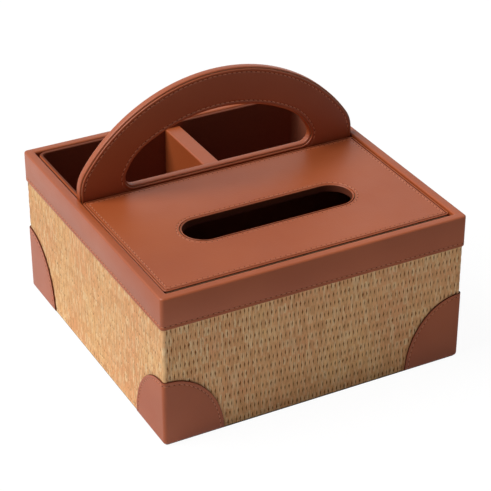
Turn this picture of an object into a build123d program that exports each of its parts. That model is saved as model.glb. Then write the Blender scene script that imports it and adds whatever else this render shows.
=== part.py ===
from build123d import *
import math
import os

# A carry caddy for boxed tissues. A square board box is wrapped in woven straw, with a leather
# collar over its rim and a leather cap round each bottom corner. An arched, leather-faced panel
# stands across it: below the rim it is the partition, above the rim it is the carrying handle.
# In front of it a loose lid with a dispensing slot covers the tissue bay, and behind it a lined
# tray is split in two by a divider.
# Sizes are in millimetres. X runs to the right along the front, Y to the back and Z up. The
# origin is under the middle of the base, on the table.

# ------------------------------------------------------------------ driving sizes

# Box, over its leather
box_width = 260.0           # left to right
box_depth = 260.0           # front to back
box_height = 128.5          # table to the top of the rim band

# Layers of the wall, from inside to outside
lining_thickness = 1.0
wall_thickness = 3.5        # board
weave_thickness = 1.8
leather_thickness = 1.2
board_corner_radius = 0.4   # upright corners of the board box

# Base
pad_thickness = 1.2         # dark pad that covers the hems under the box
pad_setback = 0.6           # pad edge in from the face of the weave
base_thickness = 4.0
floor_thickness = 1.5       # covered floor panels

# Rim band and corner caps
band_height = 26.5
rim_edge_radius = 1.3       # outer edge of the top
rim_opening_bevel = 0.8     # inner edge of the top
rim_corner_radius = 1.5     # inside corners of the rim opening
cap_reach = 50.0            # along the foot of each face, over the corner
cap_height = 58.5
hem_bevel = 0.6             # lower edge of the weave and the caps

# Handle panel
handle_front = 29.8         # its front face, behind the middle of the box
handle_core = 6.0           # board
handle_leather = 1.5        # each face
handle_side_gap = 0.2       # to the lined walls
handle_shoulder = 14.0      # height of the shoulders above the rim
handle_arch = 70.3          # rise of the arch above the shoulders
handle_shoulder_radius = 30.0
strip_thickness = 1.2       # leather on the edge of the board
strip_edge_bevel = 0.5
handle_leather_inset = 0.4  # face leather inside the edge strip
handle_leather_bevel = 0.5
grip_width = 170.6          # hand opening: a three-centred arch on a flat sill
grip_rise = 50.1
grip_crown_radius = 126.4
grip_haunch_radius = 44.3
grip_sill = 3.0             # sill above the lid
grip_corner_radius = 8.0

# Screws that hold the handle panel to the base
screw_radius = 1.5
screw_length = 20.0
screw_head_radius = 3.0
screw_clearance = 0.1
screw_pitch = 120.0
screw_count = 2

# Lid
lid_recess = 1.4            # lid top below the rim
lid_side_gap = 0.9
lid_front_gap = 2.6
lid_rear_gap = 0.8
lid_board_thickness = 4.0
lid_leather = 1.2
lid_lining = 0.8
lid_binding = 1.2           # leather round the edge of the lid and of the slot
lid_groove = 0.5            # between binding and top leather
lid_corner_radius = 2.0
lid_edge_bevel = 0.4
slot_length = 145.0
slot_width = 33.5
slot_setback = 69.5         # lid front edge to the middle of the slot

# Ledges that carry the lid
ledge_width = 6.0
ledge_height = 8.0

# Rear tray
tray_gap = 1.0              # to the rim band
tray_thickness = 3.0
tray_drop = 0.5             # tray edge below the rim
tray_corner_radius = 8.0
tray_edge_bevel = 0.5
divider_core = 11.0
divider_leather_thickness = 1.5
divider_drop = 4.4          # divider top below the rim
divider_edge_radius = 1.4

# ------------------------------------------------------------------ derived sizes

weave_width = box_width - 2 * leather_thickness
weave_depth = box_depth - 2 * leather_thickness
board_width = weave_width - 2 * weave_thickness
board_depth = weave_depth - 2 * weave_thickness
inner_width = board_width - 2 * wall_thickness
inner_depth = board_depth - 2 * wall_thickness
rim_width = inner_width - 2 * lining_thickness
rim_depth = inner_depth - 2 * lining_thickness

weave_corner_radius = board_corner_radius + weave_thickness
box_corner_radius = weave_corner_radius + leather_thickness
cap_turn_x = box_corner_radius - box_width / 2      # axis of the rounded corner
cap_turn_y = box_corner_radius - box_depth / 2
floor_level = pad_thickness + base_thickness
wall_top = box_height - leather_thickness
band_bottom = box_height - band_height

lid_top = box_height - lid_recess
lid_thickness = lid_lining + lid_board_thickness + lid_leather
lid_underside = lid_top - lid_thickness
lid_width = rim_width - 2 * lid_side_gap
lid_front = lid_front_gap - rim_depth / 2
lid_back = handle_front - lid_rear_gap
lid_depth = lid_back - lid_front
lid_middle = (lid_back + lid_front) / 2
slot_middle = lid_front + slot_setback

handle_back = handle_front + handle_core + 2 * handle_leather
core_front = handle_front + handle_leather
core_middle = core_front + handle_core / 2
handle_half = rim_width / 2 - handle_side_gap
handle_apex = box_height + handle_shoulder + handle_arch
arch_radius = (handle_half**2 + handle_arch**2) / (2 * handle_arch)
arch_centre = handle_apex - arch_radius
grip_bottom = lid_top + grip_sill

tray_width = rim_width - 2 * tray_gap
tray_back = rim_depth / 2 - tray_gap
tray_top = box_height - tray_drop
tray_floor_level = floor_level + floor_thickness
tray_inner_back = tray_back - tray_thickness
divider_top = box_height - divider_drop
divider_width = divider_core + 2 * divider_leather_thickness

os.makedirs("parts", exist_ok=True)


def write(piece, name):
    """Label a finished piece and write it under its own name."""
    piece.part.label = name
    export_step(piece.part, f"parts/{name}.step")


def upright(y):
    """Plane across the box at the given depth, drawn on as seen from the front."""
    return Plane.XZ.offset(-y)


# ------------------------------------------------------------------ board box

with BuildPart() as base_board:
    with BuildSketch(Plane.XY.offset(pad_thickness)):
        Rectangle(inner_width, inner_depth)
    extrude(amount=base_thickness)
    # countersunk from below for the screws that hold the handle panel
    underside = Plane(origin=(0, core_middle, pad_thickness), x_dir=(1, 0, 0), z_dir=(0, 0, -1))
    with Locations(underside):
        with GridLocations(screw_pitch, 0, screw_count, 1):
            CounterSinkHole(
                screw_radius + screw_clearance,
                screw_head_radius + screw_clearance,
                depth=base_thickness,
                counter_sink_angle=90,
            )
write(base_board, "base_board")

with BuildPart() as base_pad:
    with BuildSketch():
        RectangleRounded(
            weave_width - 2 * pad_setback, weave_depth - 2 * pad_setback, weave_corner_radius
        )
    extrude(amount=pad_thickness)
write(base_pad, "base_pad")

# The front and back boards run the full width, and the side boards stand between them.
with BuildPart() as front_wall:
    with BuildSketch(Plane.XY.offset(pad_thickness)):
        with Locations((0, (wall_thickness - board_depth) / 2)):
            Rectangle(board_width, wall_thickness)
    extrude(amount=wall_top - pad_thickness)
    outer_corners = front_wall.edges().filter_by(Axis.Z).group_by(Axis.Y)[0]
    fillet(outer_corners, board_corner_radius)
write(front_wall, "front_wall")

with BuildPart() as back_wall:
    mirror(front_wall.part, about=Plane.XZ)
write(back_wall, "back_wall")

with BuildPart() as left_wall:
    with BuildSketch(Plane.XY.offset(pad_thickness)):
        with Locations(((wall_thickness - board_width) / 2, 0)):
            Rectangle(wall_thickness, inner_depth)
    extrude(amount=wall_top - pad_thickness)
write(left_wall, "left_wall")

with BuildPart() as right_wall:
    mirror(left_wall.part, about=Plane.YZ)
write(right_wall, "right_wall")


# ------------------------------------------------------------------ outer covering

def rounded_ring(width, depth, radius, wall):
    """Draw a wall of even thickness round a rectangle with rounded corners."""
    RectangleRounded(width + 2 * wall, depth + 2 * wall, radius + wall)
    RectangleRounded(width, depth, radius, mode=Mode.SUBTRACT)


with BuildPart() as woven_wrap:
    with BuildSketch(Plane.XY.offset(pad_thickness)):
        rounded_ring(board_width, board_depth, board_corner_radius, weave_thickness)
    extrude(amount=wall_top - pad_thickness)
    hem = woven_wrap.faces().sort_by(Axis.Z)[0].outer_wire().edges()
    chamfer(hem, hem_bevel)
write(woven_wrap, "woven_wrap")

# The collar is folded over the top of the wall: a skirt outside, a flat rim and a short
# turn-in that ends level with the underside of the lid.
with BuildPart() as rim_band:
    with BuildSketch(Plane.XY.offset(band_bottom)):
        rounded_ring(weave_width, weave_depth, weave_corner_radius, leather_thickness)
    extrude(amount=band_height)
    with BuildSketch(Plane.XY.offset(wall_top)):
        RectangleRounded(weave_width, weave_depth, weave_corner_radius)
        RectangleRounded(rim_width, rim_depth, rim_corner_radius, mode=Mode.SUBTRACT)
    extrude(amount=leather_thickness)
    with BuildSketch(Plane.XY.offset(lid_underside)):
        Rectangle(inner_width, inner_depth)
        RectangleRounded(rim_width, rim_depth, rim_corner_radius, mode=Mode.SUBTRACT)
    extrude(amount=wall_top - lid_underside)
    chamfer(rim_band.faces().sort_by(Axis.Z)[-1].inner_wires()[0].edges(), rim_opening_bevel)
    fillet(rim_band.faces().sort_by(Axis.Z)[-1].outer_wire().edges(), rim_edge_radius)
write(rim_band, "rim_band")


# Each cap is leather turned round a bottom corner, with a leg along the foot of each face that
# is cut to a quarter ellipse.
with BuildPart() as corner_cap:
    with BuildSketch(upright(-weave_depth / 2)):
        with Locations((cap_turn_x, 0)):
            Ellipse(cap_reach - box_corner_radius, cap_height)
        with Locations((cap_turn_x, pad_thickness)):
            Rectangle(cap_reach, cap_height, align=(Align.MIN, Align.MIN), mode=Mode.INTERSECT)
    extrude(amount=leather_thickness)
    mirror(about=Plane(origin=(cap_turn_x, cap_turn_y, 0), z_dir=(1, -1, 0)))
    with BuildSketch(Plane.XY.offset(pad_thickness)):
        with Locations((cap_turn_x, cap_turn_y)):
            Circle(box_corner_radius)
            Circle(weave_corner_radius, mode=Mode.SUBTRACT)
            Rectangle(
                box_corner_radius,
                box_corner_radius,
                align=(Align.MAX, Align.MAX),
                mode=Mode.INTERSECT,
            )
    extrude(amount=cap_height - pad_thickness)
    # the bevel of the lower edge runs on round the corner from the front leg
    front_hem = corner_cap.faces().sort_by(Axis.Y)[0].edges().sort_by(Axis.Z)[0]
    chamfer(front_hem, hem_bevel)
write(corner_cap, "corner_cap_front_left")

with BuildPart() as corner_cap_front_right:
    mirror(corner_cap.part, about=Plane.YZ)
write(corner_cap_front_right, "corner_cap_front_right")

with BuildPart() as corner_cap_back_left:
    mirror(corner_cap.part, about=Plane.XZ)
write(corner_cap_back_left, "corner_cap_back_left")

with BuildPart() as corner_cap_back_right:
    mirror(corner_cap_front_right.part, about=Plane.XZ)
write(corner_cap_back_right, "corner_cap_back_right")


# ------------------------------------------------------------------ handle panel

def handle_outline(inset, mode=Mode.ADD):
    """Draw the arched panel from the base board up, inside its outer surface by the inset."""
    half = handle_half - inset
    radius = arch_radius - inset
    shoulder = arch_centre + math.sqrt(radius**2 - half**2)
    with BuildSketch(mode=Mode.PRIVATE) as panel:
        with BuildLine():
            Polyline((half, shoulder), (half, floor_level), (-half, floor_level), (-half, shoulder))
            ThreePointArc((-half, shoulder), (0, handle_apex - inset), (half, shoulder))
        make_face()
        fillet(panel.vertices().group_by(Axis.Y)[-1], handle_shoulder_radius - inset)
    add(panel.sketch, mode=mode)


def grip_outline(grow, mode=Mode.ADD):
    """Draw the hand opening, a three-centred arch, larger all round by the given amount."""
    haunch_offset = grip_width / 2 - grip_haunch_radius
    crown_sweep = math.degrees(math.asin(haunch_offset / (grip_crown_radius - grip_haunch_radius)))
    with BuildSketch(mode=Mode.PRIVATE) as grip:
        with BuildLine():
            crown = JernArc((0, grip_rise + grow), (1, 0), grip_crown_radius + grow, -crown_sweep)
            haunch = JernArc(crown @ 1, crown % 1, grip_haunch_radius + grow, crown_sweep - 90)
            below_sill = min((haunch @ 1).Y, -grow) - grip_sill
            Polyline(haunch @ 1, ((haunch @ 1).X, below_sill), (0, below_sill))
            mirror(about=Plane.YZ)
        make_face()
        with Locations((0, -grow)):
            Rectangle(
                grip_width + 2 * grow,
                grip_rise + 2 * grow,
                align=(Align.CENTER, Align.MIN),
                mode=Mode.INTERSECT,
            )
        fillet(grip.vertices().group_by(Axis.Y)[0], grip_corner_radius + grow)
    with Locations((0, grip_bottom)):
        add(grip.sketch, mode=mode)


with BuildPart() as handle_board:
    with BuildSketch(upright(core_front)):
        handle_outline(strip_thickness)
        grip_outline(strip_thickness, mode=Mode.SUBTRACT)
    extrude(amount=-handle_core)
    # pilot holes up from the foot
    foot = Plane(origin=(0, core_middle, floor_level), x_dir=(1, 0, 0), z_dir=(0, 0, -1))
    with Locations(foot):
        with GridLocations(screw_pitch, 0, screw_count, 1):
            Hole(screw_radius, depth=screw_length - base_thickness + screw_clearance)
write(handle_board, "handle_board")

with BuildPart() as handle_edge_strip:
    with BuildSketch(upright(core_front)):
        handle_outline(0)
    extrude(amount=-handle_core)
    rims = handle_edge_strip.edges().filter_by(Axis.Y, reverse=True)
    chamfer(rims - rims.group_by(Axis.Z)[0], strip_edge_bevel)
    with BuildSketch(upright(core_front)):
        handle_outline(strip_thickness)
    extrude(amount=-handle_core, mode=Mode.SUBTRACT)
write(handle_edge_strip, "handle_edge_strip")

with BuildPart() as handle_grip_strip:
    with BuildSketch(upright(core_front)):
        grip_outline(strip_thickness)
        grip_outline(0, mode=Mode.SUBTRACT)
    extrude(amount=-handle_core)
    strip_faces = handle_grip_strip.faces().filter_by(Axis.Y)
    rims = [edge for face in strip_faces for edge in face.inner_wires()[0].edges()]
    chamfer(rims, strip_edge_bevel)
write(handle_grip_strip, "handle_grip_strip")

with BuildPart() as handle_front_leather:
    with BuildSketch(upright(handle_front)):
        handle_outline(handle_leather_inset)
        grip_outline(handle_leather_inset, mode=Mode.SUBTRACT)
    extrude(amount=-handle_leather)
    shown_edges = handle_front_leather.faces().sort_by(Axis.Y)[0].edges()
    chamfer(shown_edges, handle_leather_bevel)
write(handle_front_leather, "handle_front_leather")

with BuildPart() as handle_back_leather:
    mirror(handle_front_leather.part, about=Plane.XZ.offset(-core_middle))
write(handle_back_leather, "handle_back_leather")

with BuildPart() as screw:
    with BuildSketch(Plane.XZ):
        with BuildLine():
            Polyline(
                (0, 0),
                (screw_head_radius, 0),
                (screw_radius, screw_head_radius - screw_radius),
                (screw_radius, screw_length - 2 * screw_radius),
                (0, screw_length),
                close=True,
            )
        make_face()
    revolve(axis=Axis.Z)

with BuildPart() as handle_screws:
    with Locations((0, core_middle, pad_thickness)):
        with GridLocations(screw_pitch, 0, screw_count, 1):
            add(screw.part)
write(handle_screws, "handle_screws")


# ------------------------------------------------------------------ tissue bay

bay_front = -inner_depth / 2
bay_depth = handle_front - bay_front
bay_middle = (handle_front + bay_front) / 2

with BuildPart() as tissue_bay_floor:
    with BuildSketch(Plane.XY.offset(floor_level)):
        with Locations((0, bay_middle)):
            Rectangle(inner_width, bay_depth)
    extrude(amount=floor_thickness)
write(tissue_bay_floor, "tissue_bay_floor")

# The lining covers the front and side walls up to the turn-in of the rim band.
with BuildPart() as tissue_bay_lining:
    with BuildSketch(Plane.XY.offset(floor_level + floor_thickness)):
        with Locations((0, bay_middle)):
            Rectangle(inner_width, bay_depth)
        with Locations((0, bay_middle + lining_thickness)):
            Rectangle(rim_width, bay_depth, mode=Mode.SUBTRACT)
    extrude(amount=lid_underside - floor_level - floor_thickness)
write(tissue_bay_lining, "tissue_bay_lining")

for name, ledge_middle in (
    ("lid_ledge_front", (ledge_width - rim_depth) / 2),
    ("lid_ledge_rear", handle_front - ledge_width / 2),
):
    with BuildPart() as ledge:
        with BuildSketch(Plane.XY.offset(lid_underside)):
            with Locations((0, ledge_middle)):
                Rectangle(rim_width, ledge_width)
        extrude(amount=-ledge_height)
    write(ledge, name)


# ------------------------------------------------------------------ rear tray

with BuildPart() as rear_tray:
    with BuildSketch(Plane.XY.offset(floor_level)):
        with Locations((0, tray_back)):
            Rectangle(tray_width, tray_back - handle_back, align=(Align.CENTER, Align.MAX))
    extrude(amount=tray_top - floor_level)
    back_corners = rear_tray.edges().filter_by(Axis.Z).group_by(Axis.Y)[-1]
    fillet(back_corners, tray_corner_radius)
    open_faces = rear_tray.faces().filter_by(Axis.Z) + [rear_tray.faces().sort_by(Axis.Y)[0]]
    offset(amount=-tray_thickness, openings=open_faces)
    top_edges = rear_tray.faces().sort_by(Axis.Z)[-1].edges()
    chamfer(top_edges - top_edges.group_by(Axis.Y)[0], tray_edge_bevel)
write(rear_tray, "rear_tray")

with BuildPart() as rear_tray_floor:
    with BuildSketch(Plane.XY.offset(floor_level)) as floor_outline:
        with Locations((0, tray_inner_back)):
            Rectangle(
                tray_width - 2 * tray_thickness,
                tray_inner_back - handle_back,
                align=(Align.CENTER, Align.MAX),
            )
        inner_corners = floor_outline.vertices().group_by(Axis.Y)[-1]
        fillet(inner_corners, tray_corner_radius - tray_thickness)
    extrude(amount=floor_thickness)
write(rear_tray_floor, "rear_tray_floor")

with BuildPart() as divider_board:
    with BuildSketch(upright(handle_back)):
        with Locations((0, tray_floor_level)):
            Rectangle(
                divider_core,
                divider_top - divider_leather_thickness - tray_floor_level,
                align=(Align.CENTER, Align.MIN),
            )
    extrude(amount=handle_back - tray_inner_back)
write(divider_board, "divider_board")

with BuildPart() as divider_leather:
    with BuildSketch(upright(handle_back)) as cover:
        with Locations((0, tray_floor_level)):
            Rectangle(
                divider_width,
                divider_top - tray_floor_level,
                align=(Align.CENTER, Align.MIN),
            )
        fillet(cover.vertices().group_by(Axis.Z)[-1], divider_edge_radius)
        with Locations((0, tray_floor_level)):
            Rectangle(
                divider_core,
                divider_top - divider_leather_thickness - tray_floor_level,
                align=(Align.CENTER, Align.MIN),
                mode=Mode.SUBTRACT,
            )
    extrude(amount=handle_back - tray_inner_back)
write(divider_leather, "divider_leather")


# ------------------------------------------------------------------ lid

def lid_outline(inset):
    """Draw the lid inside its outer edge by the inset."""
    with Locations((0, lid_middle)):
        RectangleRounded(lid_width - 2 * inset, lid_depth - 2 * inset, lid_corner_radius)


def slot_outline(grow, mode=Mode.ADD):
    """Draw the dispensing slot, larger all round by the given amount."""
    with Locations((0, slot_middle)):
        SlotOverall(slot_length + 2 * grow, slot_width + 2 * grow, mode=mode)


with BuildPart() as lid_under_lining:
    with BuildSketch(Plane.XY.offset(lid_underside)):
        lid_outline(lid_binding)
        slot_outline(lid_binding, mode=Mode.SUBTRACT)
    extrude(amount=lid_lining)
write(lid_under_lining, "lid_under_lining")

with BuildPart() as lid_board:
    with BuildSketch(Plane.XY.offset(lid_underside + lid_lining)):
        lid_outline(lid_binding)
        slot_outline(lid_binding, mode=Mode.SUBTRACT)
    extrude(amount=lid_board_thickness)
write(lid_board, "lid_board")

with BuildPart() as lid_edge_binding:
    with BuildSketch(Plane.XY.offset(lid_underside)):
        with Locations((0, lid_middle)):
            rounded_ring(
                lid_width - 2 * lid_binding,
                lid_depth - 2 * lid_binding,
                lid_corner_radius,
                lid_binding,
            )
    extrude(amount=lid_thickness)
    shown_edges = lid_edge_binding.faces().sort_by(Axis.Z)[-1].edges()
    chamfer(shown_edges, lid_edge_bevel)
write(lid_edge_binding, "lid_edge_binding")

with BuildPart() as slot_binding:
    with BuildSketch(Plane.XY.offset(lid_underside)):
        slot_outline(lid_binding)
        slot_outline(0, mode=Mode.SUBTRACT)
    extrude(amount=lid_thickness)
    shown_edges = slot_binding.faces().sort_by(Axis.Z)[-1].edges()
    chamfer(shown_edges, lid_edge_bevel)
write(slot_binding, "slot_binding")

with BuildPart() as lid_top_leather:
    with BuildSketch(Plane.XY.offset(lid_top - lid_leather)):
        lid_outline(lid_binding + lid_groove)
        slot_outline(lid_binding + lid_groove, mode=Mode.SUBTRACT)
    extrude(amount=lid_leather)
    shown_edges = lid_top_leather.faces().sort_by(Axis.Z)[-1].edges()
    chamfer(shown_edges, lid_edge_bevel)
write(lid_top_leather, "lid_top_leather")
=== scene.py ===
"""A square woven tissue caddy with a leather rim, arched handle, slotted lid and divided tray."""
import math
import random

import bmesh
import bpy
from mathutils import Matrix, Vector, noise


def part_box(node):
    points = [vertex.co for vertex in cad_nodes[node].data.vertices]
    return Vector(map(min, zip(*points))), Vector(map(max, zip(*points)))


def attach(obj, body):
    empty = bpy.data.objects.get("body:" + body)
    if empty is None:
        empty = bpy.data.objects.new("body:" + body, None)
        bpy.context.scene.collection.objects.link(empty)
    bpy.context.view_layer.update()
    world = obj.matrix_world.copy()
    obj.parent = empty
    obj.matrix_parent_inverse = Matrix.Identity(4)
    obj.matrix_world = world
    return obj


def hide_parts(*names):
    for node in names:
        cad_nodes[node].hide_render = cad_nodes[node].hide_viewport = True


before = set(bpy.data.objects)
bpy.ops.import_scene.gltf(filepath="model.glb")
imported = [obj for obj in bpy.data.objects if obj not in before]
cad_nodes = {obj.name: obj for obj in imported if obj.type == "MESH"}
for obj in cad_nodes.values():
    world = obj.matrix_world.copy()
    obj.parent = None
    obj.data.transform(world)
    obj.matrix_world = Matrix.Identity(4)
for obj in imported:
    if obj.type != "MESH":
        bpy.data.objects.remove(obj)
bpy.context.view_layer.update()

# ------------------------------------------------------------------ board carcass
# Brown fibreboard stiffens the box, the handle panel, the lid and the divider. The boards are cut
# square, butted and glued, and nearly all of them end up under leather, straw or lining.


class Signal:
    """One output in a node tree. Arithmetic on it adds the Math nodes that work it out."""

    def __init__(self, nodes, socket):
        self.nodes = nodes
        self.socket = socket

    def __add__(self, other):
        return self.nodes.math("ADD", self, other)

    def __sub__(self, other):
        return self.nodes.math("SUBTRACT", self, other)

    def __rsub__(self, other):
        return self.nodes.math("SUBTRACT", other, self)

    def __mul__(self, other):
        return self.nodes.math("MULTIPLY", self, other)

    def __abs__(self):
        return self.nodes.math("ABSOLUTE", self)

    __radd__ = __add__
    __rmul__ = __mul__


class Nodes:
    """A node tree whose nodes are all added by one method."""

    def __init__(self, tree):
        self.tree = tree

    def node(self, kind, settings=None, sockets=None, output=0):
        """Adds a node: first its settings, then the value or link of each socket."""
        made = self.tree.nodes.new(kind)
        for name, value in (settings or {}).items():
            setattr(made, name, value)
        for name, value in (sockets or {}).items():
            if isinstance(value, Signal):
                self.tree.links.new(value.socket, made.inputs[name])
            else:
                made.inputs[name].default_value = value
        return Signal(self, made.outputs[output])

    def math(self, operation, *values):
        return self.node("ShaderNodeMath", {"operation": operation}, dict(enumerate(values)))


def socket_name(word):
    """The shader's own name of a socket that is written here as a plain word."""
    return word.replace("_", " ").title().replace("Ior", "IOR")


class Finish(Nodes):
    """A material on the object's own coordinates, with its constants set on the shader."""

    def __init__(self, name, **constants):
        self.material = bpy.data.materials.new(name)
        self.material.use_nodes = True
        super().__init__(self.material.node_tree)
        self.shader = self.tree.nodes["Principled BSDF"]
        for socket, value in constants.items():
            self.shader.inputs[socket_name(socket)].default_value = value
        self.place = self.node("ShaderNodeTexCoord", output="Object")

    def coordinate(self, axis):
        """How far a point lies along an axis of the object, in metres."""
        return self.node("ShaderNodeSeparateXYZ", {}, {"Vector": self.place}, axis)

    def noise(self, scale, detail=3.0, stretch=(1, 1, 1)):
        """Cloudy variation from 0 to 1, with so many patches to the metre. A stretch below 1
        draws the patches out along that axis."""
        place = self.node("ShaderNodeMapping", {}, {"Vector": self.place, "Scale": stretch})
        return self.node(
            "ShaderNodeTexNoise", {}, {"Vector": place, "Scale": scale, "Detail": detail}
        )

    def between(self, signal, low, high):
        """Stretches the part of a signal from low to high over 0 to 1."""
        return self.node(
            "ShaderNodeMapRange", {}, {"Value": signal, "From Min": low, "From Max": high}
        )

    def mix(self, share, colour, other):
        """One colour turning into another as share goes from 0 to 1."""
        return self.node(
            "ShaderNodeMix", {"data_type": "RGBA"}, {0: share, 6: colour, 7: other}, "Result"
        )

    def relief(self, height, depth):
        """The bump of a surface that rises by so many metres."""
        return self.node("ShaderNodeBump", {}, {"Height": height, "Distance": depth})

    def feed(self, **signals):
        """Links signals to the shader's sockets."""
        for socket, signal in signals.items():
            target = self.shader.inputs[socket_name(socket)]
            self.tree.links.new(signal.socket, target)


def coat(finish, *names):
    """Puts a finish on nodes of the frame."""
    for name in names:
        for material_slot in cad_nodes[name].material_slots:
            material_slot.material = finish.material


fibreboard = Finish("fibreboard", roughness=0.85)
fibres = fibreboard.noise(260, 5.0)
fibreboard.feed(
    base_color=fibreboard.mix(fibres, (0.24, 0.15, 0.085, 1), (0.38, 0.26, 0.16, 1)),
    normal=fibreboard.relief(fibres, 0.0004),
)
coat(
    fibreboard,
    "base_board", "front_wall", "back_wall", "left_wall", "right_wall",
    "handle_board", "lid_ledge_front", "lid_ledge_rear", "divider_board", "lid_board",
)

# ------------------------------------------------------------------ foot pad and screws
# A thin dark felt is glued under the box and over the turned-in hems. It covers two countersunk
# steel screws that hold the handle panel down to the base.

felt = Finish("brown felt", roughness=0.95, sheen_weight=0.4)
nap = felt.noise(900, 4.0)
felt.feed(
    base_color=felt.mix(nap, (0.018, 0.012, 0.009, 1), (0.06, 0.042, 0.032, 1)),
    normal=felt.relief(nap, 0.0006),
)
coat(felt, "base_pad")

steel = Finish("screw steel", metallic=1.0, base_color=(0.56, 0.56, 0.54, 1))
turning = steel.noise(700, 2.0, stretch=(1, 1, 8))
steel.feed(roughness=0.28 + 0.2 * turning)
coat(steel, "handle_screws")

# ------------------------------------------------------------------ linings
# Thin matt leather lines the tissue bay, the underside of the lid and both floors. It is pasted
# down flat, so only its grain and a little cloudiness show.

lining = Finish("dark lining leather", roughness=0.6)
cloud = lining.noise(14)
pebbles = lining.noise(1100, 4.0)
lining.feed(
    base_color=lining.mix(cloud, (0.10, 0.030, 0.013, 1), (0.15, 0.047, 0.022, 1)),
    normal=lining.relief(pebbles, 0.0003),
)
coat(lining, "tissue_bay_floor", "tissue_bay_lining", "lid_under_lining", "rear_tray_floor")

# ------------------------------------------------------------------ woven straw wrap
# Fine strands of plaited straw run up the four walls. Each leans to one neighbour and then to the
# other, so that short slits open between them in staggered rows, over a darker ground. The wrap is
# pasted round the boards, and the rim band and the caps hold its edges.

weave_low, weave_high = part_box("woven_wrap")
weave_half = weave_high.x
weave_corner = 0.0022
weave_turn = weave_half - weave_corner  # axis of the rounded corners
strand_pitch = 0.00175
strand_wave = 0.0158                    # height of two rows of slits
strand_steps = 14                       # to each wave
strand_half_width = 0.00089
strand_depth = 0.0008
strand_sway = 0.00043
strand_drift = 0.0001
slit_scatter = 0.07                     # of a wave, up or down
corner_widening = 2                     # of the strand on each upright corner
tones_in_strand = 64
strand_columns = 145
strand_tuck = 0.0010                    # under the rim band
strand_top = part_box("rim_band")[0].z + strand_tuck
ground_drop = 0.0007                    # the woven ground below the crests of the strands


def verts_of(items):
    return [item for item in items if isinstance(item, bmesh.types.BMVert)]


def edges_of(items):
    return [item for item in items if isinstance(item, bmesh.types.BMEdge)]


def faces_of(items):
    return [item for item in items if isinstance(item, bmesh.types.BMFace)]


def everything(bm):
    return bm.verts[:] + bm.edges[:] + bm.faces[:]


def piece(bm, name, finishes, body, slot, *replaced):
    """Makes a mesh a piece that rides on a body and stands for nodes of the frame."""
    mesh = bpy.data.meshes.new(name)
    bm.to_mesh(mesh)
    bm.free()
    for finish in finishes:
        mesh.materials.append(finish.material)
    mesh.shade_smooth()
    mesh.set_sharp_from_angle(angle=math.radians(50))
    made = bpy.data.objects.new(name, mesh)
    bpy.context.scene.collection.objects.link(made)
    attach(made, body)
    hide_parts(*replaced)


def draw_ring(bm, steps=6):
    """Draws a circle with so many edges to a quarter, and gives each corner with its direction."""
    half_step = math.pi / (4 * steps)
    ring = bmesh.ops.create_circle(
        bm, segments=4 * steps, radius=1.0, matrix=Matrix.Rotation(half_step, 4, "Z")
    )["verts"]
    return ring, [corner.co.copy() / math.cos(half_step) for corner in ring]


def place_ring(ring, ways, half_x, half_y, radius, z, middle_y=0.0):
    """Shapes such a ring into a rectangle with rounded corners."""
    for corner, way in zip(ring, ways):
        corner.co = (
            way.x * radius + math.copysign(half_x - radius, way.x),
            way.y * radius + math.copysign(half_y - radius, way.y) + middle_y,
            z,
        )


def moulding(bm, section, half_x, half_y, radius, least_radius=0.0005, middle_y=0.0, steps=6):
    """Carries a closed section, given as inset and height, round a rounded rectangle."""
    ring, ways = draw_ring(bm, steps)
    edges = bm.edges[:]
    for number, (inset, z) in enumerate([*section, section[0]]):
        if number:
            grown = bmesh.ops.extrude_edge_only(bm, edges=edges)["geom"]
            ring, edges = verts_of(grown), edges_of(grown)
        turn = max(radius - inset, least_radius)
        place_ring(ring, ways, half_x - inset, half_y - inset, turn, z, middle_y)
    bmesh.ops.remove_doubles(bm, verts=bm.verts, dist=1e-7)
    bmesh.ops.recalc_face_normals(bm, faces=bm.faces)


straw = Finish("plaited straw", roughness=0.7, specular_ior_level=0.3)
own_tone = straw.node("ShaderNodeAttribute", {"attribute_name": "strand"}, output="Fac")
patches = straw.between(straw.noise(22, 2.0), 0.35, 0.65)
tan = straw.mix(patches, (0.92, 0.48, 0.23, 1), (0.97, 0.62, 0.29, 1))
pale = straw.mix(straw.between(own_tone, 0.5, 1.0), tan, (0.99, 0.72, 0.41, 1))
worn = straw.mix(straw.between(own_tone, 0.35, 0.0), pale, (0.80, 0.42, 0.19, 1))
fibres = straw.noise(1500, 3.0, stretch=(1, 1, 0.06))
straw.feed(
    base_color=straw.mix(straw.between(fibres, 0.3, 0.55), (0.72, 0.39, 0.18, 1), worn),
    normal=straw.relief(fibres, 0.0003),
)

ground = Finish("shaded straw ground", roughness=0.9, specular_ior_level=0.1)
threads = ground.noise(800, 3.0, stretch=(0.15, 0.15, 1))
ground.feed(
    base_color=ground.mix(threads, (0.20, 0.07, 0.02, 1), (0.36, 0.14, 0.045, 1)),
    normal=ground.relief(threads, 0.0004),
)

bm = bmesh.new()
moulding(
    bm,
    (
        (0, weave_low.z),
        (0, weave_high.z),
        (ground_drop, weave_high.z),
        (ground_drop, weave_low.z),
    ),
    weave_half - ground_drop,
    weave_half - ground_drop,
    weave_corner - ground_drop,
)
piece(bm, "woven_ground", [ground], "box", "woven_straw", "woven_wrap")


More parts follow.
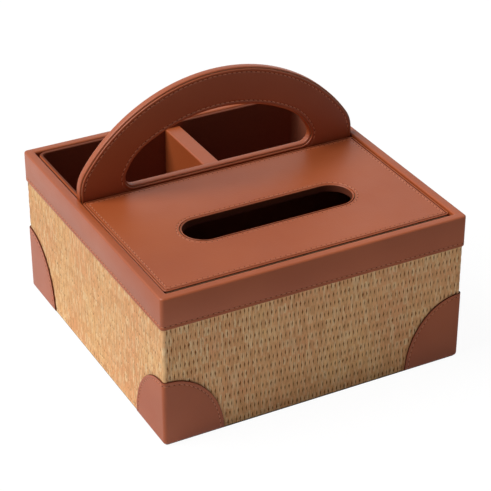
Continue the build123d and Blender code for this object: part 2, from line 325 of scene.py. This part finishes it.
def draw_strand():
    """A straight strand with a flat back, closed at both ends, as a mesh to be copied."""
    bm = bmesh.new()
    bmesh.ops.create_circle(
        bm,
        cap_ends=True,
        segments=8,
        radius=1.0,
        matrix=Matrix.Translation((0, 0, weave_low.z))
        @ Matrix.Diagonal((strand_half_width, strand_depth, 1, 1)),
    )
    bmesh.ops.bisect_plane(
        bm, geom=everything(bm), plane_co=(0, 0, 0), plane_no=(0, 1, 0), clear_outer=True
    )
    edges = bm.edges[:]
    steps = round((strand_top - weave_low.z) / strand_wave * strand_steps)
    climb = (strand_top - weave_low.z) / steps
    for step in range(steps):
        grown = bmesh.ops.extrude_edge_only(bm, edges=edges)["geom"]
        edges = edges_of(grown)
        bmesh.ops.translate(bm, verts=verts_of(grown), vec=(0, 0, climb))
    bmesh.ops.holes_fill(bm, edges=[edge for edge in bm.edges if edge.is_boundary], sides=0)
    bmesh.ops.recalc_face_normals(bm, faces=bm.faces)
    mesh = bpy.data.meshes.new("strand")
    bm.to_mesh(mesh)
    bm.free()
    return mesh


strand = draw_strand()


def strand_wall(chance):
    """One wall of strands facing -Y, with a wider one more on its left upright corner."""
    bm = bmesh.new()
    own_value = bm.verts.layers.float.new("strand")
    for column in range(strand_columns + 1):
        start = len(bm.verts)
        bm.from_mesh(strand)
        bm.verts.ensure_lookup_table()
        corners = bm.verts[start:]
        tones = [chance.random() for _ in range(tones_in_strand)]
        sway = chance.uniform(0.7, 1.3) * strand_sway
        width = chance.uniform(0.96, 1.05) * (1 if column else corner_widening)
        seat = 90 * chance.random()     # this strand's own place in the noise
        for corner in corners:
            x, y, z = corner.co
            scatter = slit_scatter * noise.noise((seat, column, z * 70))
            waves = z / strand_wave + column / 2 + scatter
            lean = math.sin(math.tau * waves) ** 5 * (1 + noise.noise((z * 90, seat, column)))
            drift = strand_drift * noise.noise((column, seat, z * 45))
            corner.co = (x * width + sway * lean + drift, y * (1 - 0.3 * abs(lean)), z)
            corner[own_value] = tones[int(2 * waves) % tones_in_strand]
        if column:
            across = (column - (strand_columns + 1) / 2) * strand_pitch
            seated = Matrix.Translation((across, strand_depth - weave_half, 0))
        else:
            seated = (
                Matrix.Translation((-weave_turn, -weave_turn, 0))
                @ Matrix.Rotation(math.radians(-45), 4, "Z")
                @ Matrix.Translation((0, strand_depth - weave_corner, 0))
            )
        bmesh.ops.transform(bm, verts=corners, matrix=seated)
    return bm


for seed, (side, turned) in enumerate({"front": 0, "right": 90, "back": 180, "left": -90}.items()):
    bm = strand_wall(random.Random(seed))
    bm.transform(Matrix.Rotation(math.radians(turned), 4, "Z"))
    piece(bm, f"strands_{side}", [straw], "box", "woven_straw")

# ------------------------------------------------------------------ corner caps
# Each bottom corner wears one piece of tan leather, cut to a quarter ellipse on both faces. It is
# folded round the corner and sewn to the weave in a pressed channel beside its cut edge.


def tan_hide(name, shaded, fair):
    """Smooth tan leather, clouded from one tone to the other, with fine pebbles."""
    hide = Finish(name)
    cloud = hide.between(hide.noise(10, 3.0), 0.3, 0.7)
    mottle = hide.noise(55, 4.0)
    pebbles = hide.node(
        "ShaderNodeTexVoronoi", {"feature": "SMOOTH_F1"}, {"Vector": hide.place, "Scale": 950}
    )
    hide.feed(
        base_color=hide.mix(cloud, shaded, fair),
        roughness=0.36 + 0.12 * mottle,
        normal=hide.relief(pebbles, 0.00006),
    )
    return hide


leather = tan_hide("tan leather", (0.40, 0.082, 0.020, 1), (0.47, 0.108, 0.030, 1))

thread = Finish("waxed thread", roughness=0.5)
twist = thread.noise(2500, 2.0)
thread.feed(base_color=thread.mix(twist, (0.54, 0.19, 0.09, 1), (0.66, 0.28, 0.15, 1)))
# needle holes are flat dark pods on the surface: painted shade of the holes
needle = Finish("needle hole", roughness=0.9)
needle.feed(
    base_color=needle.mix(needle.noise(900), (0.030, 0.008, 0.004, 1), (0.05, 0.014, 0.007, 1))
)

# dark paint on the cut edges; round the lid, in the slot and under the rim band it is painted shade
edge_paint_and_shade = Finish("dark edge paint and painted shade", roughness=0.8, specular_ior_level=0.2)
edge_paint_and_shade.feed(
    base_color=edge_paint_and_shade.mix(
        edge_paint_and_shade.noise(700), (0.10, 0.022, 0.009, 1), (0.15, 0.034, 0.014, 1)
    )
)

leather_thickness = 0.0012
cut_edge_radius = 0.00045
channel_half_width = 0.00045
channel_slope = 0.00035
channel_depth = 0.00018
cap_low, cap_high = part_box("corner_cap_front_left")
cap_reach = cap_high.x + weave_turn
foot_height, foot_depth = 0.0030, 0.0010  # of the turn under the box
foot_cuts, bend_cuts = 5, 4             # edges across the turn and across half the fold
cap_margin = 0.0030                     # cut edge to seam
cap_heights = {                         # from the photograph, but back right is hidden there
    "front_left": 0.0563,
    "front_right": 0.0590,
    "back_left": 0.0580,
    "back_right": 0.0580,
}
outward_share = 0.8                     # of a face that looks outwards and so keeps its tan
cap_bend = weave_corner * math.pi / 4   # half the leather taken by the fold


def trim(bm, point, away):
    """Cuts off what lies past a plane and closes the cut."""
    bmesh.ops.bisect_plane(
        bm, geom=everything(bm), plane_co=point, plane_no=away, clear_outer=True
    )
    bmesh.ops.holes_fill(bm, edges=[edge for edge in bm.edges if edge.is_boundary], sides=0)


def border_lines(region):
    """The borders of a region of faces, each as a closed list of points in order."""
    inside = set(region)
    border = {}
    for face in region:
        for edge in face.edges:
            if sum(other in inside for other in edge.link_faces) == 1:
                border[edge] = None
    lines = []
    while border:
        edge = next(iter(border))
        corner = edge.verts[0]
        line = []
        while edge in border:
            del border[edge]
            line.append(corner.co.copy())
            corner = edge.other_vert(corner)
            edge = next((other for other in corner.link_edges if other in border), None)
        lines.append(line)
    return lines


def raise_sheet(bm, region, outward, thickness, margin):
    """Makes a flat region a sheet of leather with rounded cut edges and a channel along each edge.
    Gives the lines in the middle of the channels, for the seams."""
    top = faces_of(bmesh.ops.extrude_face_region(bm, geom=region)["geom"])

    def shape_top(inset, lift):
        """Draws the top in from its borders and raises it."""
        if inset:
            bmesh.ops.inset_region(
                bm, faces=top, thickness=inset, use_even_offset=True, use_boundary=True
            )
        corners = list({corner: None for face in top for corner in face.verts})
        bmesh.ops.translate(bm, verts=corners, vec=outward * lift)

    shape_top(0, thickness - cut_edge_radius)
    turns = [math.radians(angle) for angle in (0, 30, 60, 90)]
    for turn, further in zip(turns, turns[1:]):
        shape_top(
            cut_edge_radius * (math.cos(turn) - math.cos(further)),
            cut_edge_radius * (math.sin(further) - math.sin(turn)),
        )
    shape_top(margin - cut_edge_radius - channel_half_width - channel_slope, 0)
    shape_top(channel_slope, -channel_depth)
    shape_top(channel_half_width, 0)
    seams = border_lines(top)
    shape_top(channel_half_width, 0)
    shape_top(channel_slope, channel_depth)
    shape_top(channel_slope, 0)
    bmesh.ops.recalc_face_normals(bm, faces=bm.faces)
    return seams


stitch_pitch = 0.0043
stitch_half_length = 0.00155
stitch_half_width = 0.00032
stitch_slant = math.radians(7)
needle_radius = 0.00042


def draw_stitch(name, half_width, half_height, half_length, slant, finish_slot):
    """A small pod along +Z, as a mesh to be copied: a needle hole, dark as painted shade, or a run
    of thread.
    """
    bm = bmesh.new()
    bmesh.ops.create_uvsphere(
        bm,
        u_segments=6,
        v_segments=5,
        radius=1.0,
        matrix=Matrix.Rotation(slant, 4, "Y")
        @ Matrix.Diagonal((half_width, half_height, half_length, 1)),
    )
    for face in bm.faces:
        face.material_index = finish_slot
    mesh = bpy.data.meshes.new(name)
    bm.to_mesh(mesh)
    bm.free()
    return mesh


hole = draw_stitch("hole", needle_radius, needle_radius / 4, needle_radius, 0, 1)
run = draw_stitch(
    "run", stitch_half_width, stitch_half_width, stitch_half_length, stitch_slant, 0
)


def sew(bm, line, outward=None, lowest=0.0):
    """Sews along a closed line: a hole, a run of thread, and so on by half a pitch each.
    Without an outward direction the seam runs level round the box."""
    ends = line[1:] + line[:1]
    length = sum((end - start).length for start, end in zip(line, ends))
    half_pitch = length / round(length / stitch_pitch) / 2
    ahead, sewn = 0.0, 0
    for start, end in zip(line, ends):
        along = (end - start).normalized()
        out = outward or along.cross(Vector((0, 0, 1)))
        basis = Matrix((along.cross(out), out, along)).transposed().to_4x4()
        while ahead < (end - start).length:
            where = start + along * ahead
            if where.z > lowest:
                placed = (run if sewn % 2 else hole).copy()
                placed.transform(Matrix.Translation(where) @ basis)
                bm.from_mesh(placed)
                bpy.data.meshes.remove(placed)
            ahead, sewn = ahead + half_pitch, sewn + 1
        ahead -= (end - start).length


def fold(bm):
    """Folds the flat pattern round the front left corner, with its outer side at -Y, and turns
    its foot in."""
    for corner in bm.verts:
        along, rise, z = corner.co.x, -corner.co.y, corner.co.z
        below = min(max(1 - (z - cap_low.z) / foot_height, 0), 1)
        rise -= foot_depth * (1 - math.sqrt(1 - below ** 2)) * (rise > 0)
        past = abs(along) - cap_bend
        if past > 0:
            level, out = past - weave_turn, -weave_half - rise
            corner.co = (level, out, z) if along > 0 else (out, level, z)
        else:
            angle = math.radians(225 + 45 * along / cap_bend)
            reach = weave_corner + rise
            corner.co = (
                reach * math.cos(angle) - weave_turn,
                reach * math.sin(angle) - weave_turn,
                z,
            )


for name, cap_height in cap_heights.items():
    mirrored = 1 if "left" in name else -1, 1 if "front" in name else -1
    bm = bmesh.new()
    ring, ways = draw_ring(bm, steps=14)
    for corner, way in zip(ring, ways):
        corner.co = (
            way.x * cap_reach + math.copysign(cap_bend, way.x), 0, way.y * cap_height
        )
    pattern = bmesh.ops.contextual_create(bm, geom=bm.edges[:])["faces"]
    seams = raise_sheet(bm, pattern, Vector((0, -1, 0)), leather_thickness, cap_margin)
    trim(bm, (0, 0, cap_low.z), (0, 0, -1))
    for face in bm.faces:
        face.material_index = face.normal.y > -outward_share
    for level in range(1, foot_cuts):
        bmesh.ops.bisect_plane(
            bm,
            geom=everything(bm),
            plane_co=(0, 0, cap_low.z + foot_height * (level / foot_cuts) ** 2),
            plane_no=(0, 0, 1),
        )
    for cut in range(-bend_cuts, bend_cuts + 1):
        bmesh.ops.bisect_plane(
            bm,
            geom=everything(bm),
            plane_co=(cut / bend_cuts * cap_bend, 0, 0),
            plane_no=(1, 0, 0),
        )
    sewn = bmesh.new()
    for line in seams:
        sew(sewn, line, Vector((0, -1, 0)), lowest=cap_low.z + stitch_half_length)
    for folded in (bm, sewn):
        fold(folded)
        folded.transform(Matrix.Diagonal((*mirrored, 1, 1)))
        bmesh.ops.recalc_face_normals(folded, faces=folded.faces)
    piece(bm, f"cap_{name}", [leather, edge_paint_and_shade], "box", "tan_leather", f"corner_cap_{name}")
    piece(sewn, f"cap_seam_{name}", [thread, needle], "box", "tan_leather")

# ------------------------------------------------------------------ rim band
# A leather collar is folded over the top of the walls. Its skirt is sewn through the weave just
# above its cut edge, painted dark as edge paint and as the shade under the band. Its top is flat
# and softly turned, and a short turn-in lines the opening.

band_low, band_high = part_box("rim_band")
band_half = band_high.x
band_corner = weave_corner + leather_thickness
wall_top = band_high.z - leather_thickness
opening_inset = 0.0075
turn_in = 0.0010
lid_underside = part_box("lid_under_lining")[0].z
band_turn = 0.0015                      # radius of the outer turned edge
opening_turn = 0.0015
seam_lift = 0.0029                      # cut edge to seam
painted_share = 0.7                     # of a turned edge that the edge paint and painted shade cover


def rounding(centre, radius, first, last, steps=5):
    """Points of a section round a turned edge, as inset and height."""
    angles = [math.radians(first + (last - first) * step / steps) for step in range(steps + 1)]
    return [
        (centre[0] - radius * math.cos(angle), centre[1] + radius * math.sin(angle))
        for angle in angles
    ]


def paint_below(bm, height):
    """Gives the second finish to the faces below a height."""
    for face in bm.faces:
        face.material_index = face.calc_center_median().z < height


seam_z = band_low.z + seam_lift
channel = channel_half_width + channel_slope
bm = bmesh.new()
moulding(
    bm,
    [
        (leather_thickness, band_low.z),
        *rounding((cut_edge_radius, band_low.z + cut_edge_radius), cut_edge_radius, -90, 0, 3),
        (0, seam_z - channel),
        (channel_depth, seam_z - channel_half_width),
        (channel_depth, seam_z),
        (channel_depth, seam_z + channel_half_width),
        (0, seam_z + channel),
        *rounding((band_turn, band_high.z - band_turn), band_turn, 0, 90),
        *rounding(
            (opening_inset - opening_turn, band_high.z - opening_turn), opening_turn, 90, 180
        ),
        (opening_inset, lid_underside),
        (opening_inset - turn_in, lid_underside),
        (opening_inset - turn_in, wall_top),
        (leather_thickness, wall_top),
    ],
    band_half,
    band_half,
    band_corner,
    least_radius=0.0015,
    steps=8,
)
seam = [corner.co.copy() for corner in bm.verts if abs(corner.co.z - seam_z) < 1e-6]
# the band's lower cut edge gets the dark edge paint, which also stands for the shade under it
paint_below(bm, band_low.z + painted_share * cut_edge_radius)
piece(bm, "rim_collar", [leather, edge_paint_and_shade], "box", "tan_leather", "rim_band")

bm = bmesh.new()
sew(bm, seam)
piece(bm, "rim_seam", [thread, needle], "box", "tan_leather")

# ------------------------------------------------------------------ handle panel
# The board that stands across the box rises through the rim as a carrying handle. Leather strips
# are glued round its edge and round the hand opening, and a sewn leather face covers each side.
# Both faces are a darker tan than the rest of the leather, as painted shade.

panel_low, panel_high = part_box("handle_edge_strip")
face_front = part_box("handle_front_leather")[0].y
panel_half = panel_high.x
panel_depth = panel_high.y - panel_low.y
panel_middle = (panel_high.y + panel_low.y) / 2
face_thickness = panel_low.y - face_front
strip_thickness = 0.0012
strip_edge_radius = 0.0009
face_inset = 0.0016                     # of the face leather from the outside of the strips
face_margin = 0.0024                    # cut edge to seam
seam_start = 0.005                      # above the rim
shoulder_radius = 0.030
shoulder_rise = 0.014                   # shoulders above the rim
arch_rise = panel_high.z - band_high.z - shoulder_rise
arch_radius = (panel_half ** 2 + arch_rise ** 2) / (2 * arch_rise)
arch_middle = panel_high.z - arch_radius
grip_half = 0.0853
grip_rise = 0.0501                      # crown above the sill
grip_crown = 0.1264                     # radii of the three arcs
grip_haunch = 0.0443
grip_corner = 0.008
grip_lift = 0.0030                      # sill above the lid
grip_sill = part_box("lid_top_leather")[1].z + grip_lift
outline_spare = 0.010                   # drawn below the foot and trimmed off again


def run_on(bm, tip, x, y, z):
    """Carries an outline on in a straight line and gives its new end."""
    tip = bmesh.ops.extrude_vert_indiv(bm, verts=[tip])["verts"][0]
    tip.co = (x, y, z)
    return tip


def arc_on(bm, tip, centre, degrees, steps):
    """Carries an outline on along an arc, from +X towards +Z, and gives its new end."""
    spun = bmesh.ops.spin(
        bm, geom=[tip], cent=centre, axis=(0, -1, 0), angle=math.radians(degrees), steps=steps
    )
    return verts_of(spun["geom_last"])[0]


def draw_panel(bm, inset, y):
    """Half the panel's outline: foot, upright side, rounded shoulder and shallow arch."""
    side = panel_half - inset
    foot = panel_low.z - outline_spare + inset
    shoulder_x = panel_half - shoulder_radius
    shoulder_z = arch_middle + math.sqrt((arch_radius - shoulder_radius) ** 2 - shoulder_x ** 2)
    meeting = math.degrees(math.atan2(shoulder_z - arch_middle, shoulder_x))
    tip = run_on(bm, bm.verts.new((0, y, foot)), side, y, foot)
    tip = run_on(bm, tip, side, y, shoulder_z)
    tip = arc_on(bm, tip, (shoulder_x, y, shoulder_z), meeting, 10)
    arc_on(bm, tip, (0, y, arch_middle), 90 - meeting, 24)


def draw_grip(bm, grow, y):
    """Half the hand opening's outline: sill, rounded corner, haunch and crown."""
    haunch_x = grip_half - grip_haunch
    crown_z = grip_sill + grip_rise - grip_crown
    haunch_z = crown_z + math.sqrt((grip_crown - grip_haunch) ** 2 - haunch_x ** 2)
    corner_z = grip_sill + grip_corner
    corner_x = haunch_x + math.sqrt((grip_haunch - grip_corner) ** 2 - (corner_z - haunch_z) ** 2)
    lower = math.degrees(math.atan2(corner_z - haunch_z, corner_x - haunch_x))
    upper = math.degrees(math.atan2(haunch_z - crown_z, haunch_x))
    sill = grip_sill - grow
    tip = run_on(bm, bm.verts.new((0, y, sill)), corner_x, y, sill)
    tip = arc_on(bm, tip, (corner_x, y, corner_z), lower + 90, 8)
    tip = arc_on(bm, tip, (haunch_x, y, haunch_z), upper - lower, 12)
    arc_on(bm, tip, (0, y, crown_z), 90 - upper, 12)


def fill_between(bm):
    """Mirrors the half outlines and fills the flat region between the two loops."""
    bmesh.ops.mirror(
        bm, geom=everything(bm), matrix=Matrix.Identity(4), merge_dist=1e-6, axis="X"
    )
    return faces_of(bmesh.ops.triangle_fill(bm, edges=bm.edges[:], use_beauty=True)["geom"])


strip_section = [
    (strip_thickness, 0.0),
    *rounding((strip_edge_radius, strip_edge_radius), strip_edge_radius, -90, 0, 3),
    *rounding((strip_edge_radius, panel_depth - strip_edge_radius), strip_edge_radius, 0, 90, 3),
    (strip_thickness, panel_depth),
]

for name, draw, replaced in (
    ("handle_edge", draw_panel, "handle_edge_strip"),
    ("grip_edge", draw_grip, "handle_grip_strip"),
):
    bm = bmesh.new()
    draw(bm, strip_thickness, panel_low.y)
    edges = bm.edges[:]
    for buried, y in [*strip_section[1:], strip_section[0]]:
        outline = bmesh.new()
        draw(outline, buried, panel_low.y + y)
        grown = bmesh.ops.extrude_edge_only(bm, edges=edges)["geom"]
        edges = edges_of(grown)
        for corner, place in zip(verts_of(grown), outline.verts):
            corner.co = place.co
        outline.free()
    bmesh.ops.mirror(bm, geom=everything(bm), matrix=Matrix.Identity(4), merge_dist=1e-6, axis="X")
    bmesh.ops.remove_doubles(bm, verts=bm.verts, dist=1e-6)
    trim(bm, (0, 0, panel_low.z), (0, 0, -1))
    bmesh.ops.recalc_face_normals(bm, faces=bm.faces)
    piece(bm, name, [leather], "box", "tan_leather", replaced)

# the handle's two faces are a darker copy of the tan leather: painted shade
handle_shade_leather = tan_hide(
    "tan leather with painted shade", (0.34, 0.068, 0.017, 1), (0.40, 0.090, 0.025, 1)
)
for side, turned in (("front", 1), ("back", -1)):
    bm = bmesh.new()
    draw_panel(bm, face_inset, panel_low.y)
    draw_grip(bm, face_inset, panel_low.y)
    seams = raise_sheet(bm, fill_between(bm), Vector((0, -1, 0)), face_thickness, face_margin)
    trim(bm, (0, 0, panel_low.z), (0, 0, -1))
    sewn = bmesh.new()
    for line in seams:
        sew(sewn, line, Vector((0, -1, 0)), lowest=band_high.z + seam_start)
    for made in (bm, sewn):
        bmesh.ops.translate(made, verts=made.verts, vec=(0, -panel_middle, 0))
        made.transform(Matrix.Diagonal((1, turned, 1, 1)))
        bmesh.ops.translate(made, verts=made.verts, vec=(0, panel_middle, 0))
        bmesh.ops.recalc_face_normals(made, faces=made.faces)
    piece(
        bm, f"handle_face_{side}", [handle_shade_leather], "box", "tan_leather", f"handle_{side}_leather"
    )
    piece(sewn, f"handle_seam_{side}", [thread, needle], "box", "tan_leather")

# ------------------------------------------------------------------ rear tray and divider
# Behind the handle stands a leather tray. Its inside and its back lip are painted dark as shade,
# and only its lip at the two sides keeps the tan. A board covered in the tan leather is glued
# across it and splits it in two.

tray_side, _, tray_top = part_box("rear_tray")[1]
lip_width, lip_height = 0.0011, 0.0007
side_fade, lip_fade = 0.0002, 0.0003    # where the painted shade runs out towards the lip
tray_shade = Finish("tray leather with painted shade inside", roughness=0.75, specular_ior_level=0.25)
grain = tray_shade.noise(900, 4.0)
side_edge, lip_edge = tray_side - lip_width, tray_top - lip_height
beside = tray_shade.between(abs(tray_shade.coordinate("X")), side_edge, side_edge + side_fade)
lip = beside * tray_shade.between(tray_shade.coordinate("Z"), lip_edge, lip_edge + lip_fade)
# the tray's inside and back lip are painted dark as shade; the side lips keep the tan
inside = tray_shade.mix(grain, (0.180, 0.045, 0.021, 1), (0.245, 0.065, 0.031, 1))
tray_shade.feed(
    base_color=tray_shade.mix(lip, inside, (0.44, 0.095, 0.025, 1)),
    normal=tray_shade.relief(grain, 0.0002),
)
coat(tray_shade, "rear_tray")
coat(leather, "divider_leather")

# ------------------------------------------------------------------ lid
# The lid's board is bound with a leather strip round its edge and round the slot. The sides of
# the bindings are painted dark as the shade in the gap round the lid and inside the slot. The
# top leather lies inside the bindings with a fine groove between, and is sewn along every edge.

lid_gap = 0.0015                        # by which the binding is drawn in at the front
lid_low, lid_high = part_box("lid_edge_binding")
lid_low.y += lid_gap
slot_low, slot_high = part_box("slot_binding")
lid_half = lid_high.x
lid_half_depth = (lid_high.y - lid_low.y) / 2
lid_middle = (lid_high.y + lid_low.y) / 2
lid_binding = 0.0012
lid_groove = 0.0008
lid_corner = 0.0032
lid_margin = 0.0021                     # cut edge to seam
binding_turn = 0.0008                   # radius of the outer edge
binding_edge = 0.0003
slot_half_length = slot_high.x - lid_binding
slot_half_width = (slot_high.y - slot_low.y) / 2 - lid_binding
slot_middle = (slot_high.y + slot_low.y) / 2

painted_height = lid_high.z - painted_share * binding_turn
binding_section = [
    (lid_binding, lid_low.z),
    (0, lid_low.z),
    *rounding((binding_turn, lid_high.z - binding_turn), binding_turn, 0, 90, 4),
    *rounding((lid_binding - binding_edge, lid_high.z - binding_edge), binding_edge, 90, 180, 3),
]

bm = bmesh.new()
moulding(bm, binding_section, lid_half, lid_half_depth, lid_corner, middle_y=lid_middle)
# the sides of the lid's binding are painted dark as the shade of the gap round the lid
paint_below(bm, painted_height)
piece(bm, "lid_edge", [leather, edge_paint_and_shade], "lid", "tan_leather", "lid_edge_binding")

bm = bmesh.new()
moulding(
    bm,
    [(-inset, z) for inset, z in binding_section],
    slot_half_length,
    slot_half_width,
    slot_half_width,
    middle_y=slot_middle,
    steps=12,
)
# the sides of the slot's binding are painted dark as the shade inside the slot
paint_below(bm, painted_height)
piece(bm, "slot_edge", [leather, edge_paint_and_shade], "lid", "tan_leather", "slot_binding")

bm = bmesh.new()
inset = lid_binding + lid_groove
plane = lid_high.z - leather_thickness
place_ring(*draw_ring(bm, steps=1), lid_half - inset, lid_half_depth - inset, 0, plane, lid_middle)
place_ring(
    *draw_ring(bm, steps=12),
    slot_half_length + inset,
    slot_half_width + inset,
    slot_half_width + inset,
    plane,
    slot_middle,
)
region = faces_of(bmesh.ops.triangle_fill(bm, edges=bm.edges[:], use_beauty=True)["geom"])
seams = raise_sheet(bm, region, Vector((0, 0, 1)), leather_thickness, lid_margin)
piece(bm, "lid_face", [leather], "lid", "tan_leather", "lid_top_leather")
bm = bmesh.new()
for line in seams:
    sew(bm, line, Vector((0, 0, 1)))
piece(bm, "lid_seams", [thread, needle], "lid", "tan_leather")

# ------------------------------------------------------------------ stage
# The box stands on a wide pale floor in an empty white room, and the camera sees both as white.
# Reflections do too, but for a dim floor before the box, which keeps its front as dark as in the
# photograph. Little light comes from either, and the floor keeps one broad lamp's soft shadow.

floor_radius = 6.0
floor_glow, dim_glow = 1.04, 0.25       # as reflections see the floor behind and before the box
dim_edge, bright_edge = -0.35, 0.3      # of the floor between the two, along the diagonal
floor_whiteness = 0.92                  # share of the glow in what the camera sees
room_light = 0.04

bm = bmesh.new()
bmesh.ops.create_circle(bm, cap_ends=True, segments=64, radius=floor_radius)
mesh = bpy.data.meshes.new("floor")
bm.to_mesh(mesh)
bm.free()
floor = bpy.data.objects.new("floor", mesh)
bpy.context.scene.collection.objects.link(floor)


def show(nodes, shader, output_node):
    """Makes a shader what the whole node tree gives."""
    nodes.tree.links.new(shader.socket, nodes.tree.nodes[output_node].inputs["Surface"])


floor_paint = Finish("floor paint", roughness=0.9, base_color=(0.9, 0.9, 0.9, 1))
mesh.materials.append(floor_paint.material)
camera_ray = floor_paint.node("ShaderNodeLightPath", output="Is Camera Ray")
glossy_ray = floor_paint.node("ShaderNodeLightPath", output="Is Glossy Ray")
diagonal = floor_paint.coordinate("Y") - floor_paint.coordinate("X")
bright = floor_paint.math(
    "MAXIMUM", camera_ray, floor_paint.between(diagonal, dim_edge, bright_edge)
)
dim = floor_paint.node("ShaderNodeEmission", {}, {"Strength": dim_glow})
glow = floor_paint.node("ShaderNodeEmission", {}, {"Strength": floor_glow})
glowing = floor_paint.node("ShaderNodeMixShader", {}, {0: bright, 1: dim, 2: glow})
share = floor_paint.math("MAXIMUM", camera_ray * floor_whiteness, glossy_ray)
painted = Signal(floor_paint, floor_paint.shader.outputs[0])
surface = floor_paint.node("ShaderNodeMixShader", {}, {0: share, 1: painted, 2: glowing})
show(floor_paint, surface, "Material Output")

world = bpy.data.worlds.new("studio")
world.use_nodes = True
bpy.context.scene.world = world
room = Nodes(world.node_tree)
room.tree.nodes.remove(room.tree.nodes["Background"])
white = (1, 1, 1, 1)
lighting = room.node("ShaderNodeBackground", {}, {"Color": white, "Strength": room_light})
backdrop = room.node("ShaderNodeBackground", {}, {"Color": white, "Strength": 1.0})
camera_ray = room.node("ShaderNodeLightPath", output="Is Camera Ray")
glossy_ray = room.node("ShaderNodeLightPath", output="Is Glossy Ray")
seen = room.math("MAXIMUM", camera_ray, glossy_ray)
surface = room.node("ShaderNodeMixShader", {}, {0: seen, 1: lighting, 2: backdrop})
show(room, surface, "World Output")

lamp_direction = Vector((-0.578, 0.20, 0.787))
lamp = bpy.data.lights.new("lamp", "SUN")
lamp.energy = 2.87
lamp.angle = math.radians(40)
hung_lamp = bpy.data.objects.new("lamp", lamp)
hung_lamp.rotation_mode = "QUATERNION"
hung_lamp.rotation_quaternion = lamp_direction.to_track_quat("Z", "Y")
bpy.context.scene.collection.objects.link(hung_lamp)

azimuth, elevation = math.radians(-27.917), math.radians(30.473)
camera = bpy.data.objects.new("camera", bpy.data.cameras.new("camera"))
camera.data.lens = 132.07
camera.data.sensor_width = 36
camera.location = (-0.5811, -1.1093, 0.8072)
camera.rotation_mode = "XYZ"
camera.rotation_euler = (math.pi / 2 - elevation, 0, azimuth)
bpy.context.scene.collection.objects.link(camera)
bpy.context.scene.camera = camera
bpy.context.scene.view_settings.view_transform = "Standard"
